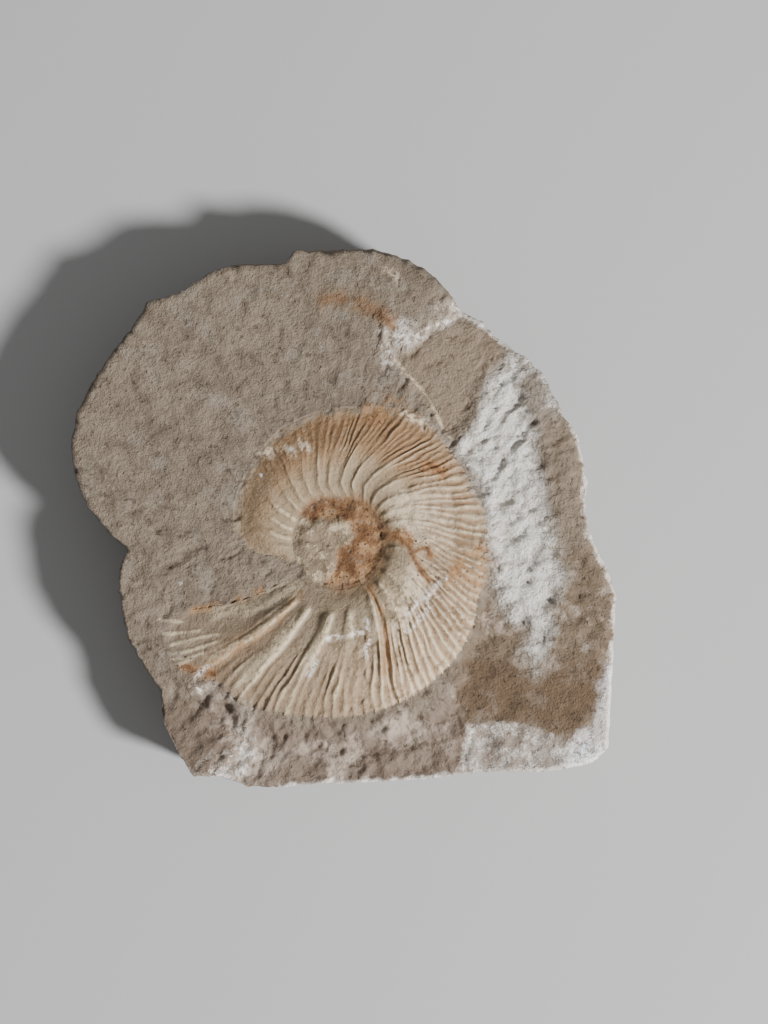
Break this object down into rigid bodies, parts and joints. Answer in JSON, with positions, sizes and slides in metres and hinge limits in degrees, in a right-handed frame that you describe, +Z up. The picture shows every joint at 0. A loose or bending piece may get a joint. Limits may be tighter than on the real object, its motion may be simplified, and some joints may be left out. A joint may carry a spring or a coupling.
{
  "type": "ammonite fossil",
  "caption": "Ribbed spiral ammonite standing in relief on a loose flat plate of cream-tan limestone with broken edges; it lies on its flat underside as a display or teaching piece.",
  "frame": {"origin": "middle of the underside of the plate's bounding box, on the surface that the plate lies on", "axes": "+Z up out of the bedding plane towards the fossil, +Y towards the stepped upper edge of the plate, +X towards the straight broken edge on the right"},
  "size_m": [0.0796, 0.0788, 0.0153],
  "materials": {
    "limestone": "matt, fine-grained, with chalky broken faces and rust stains"
  },
  "bodies": {
    "root": {"ammonite_slab": "limestone"}
  },
  "joints": []
}
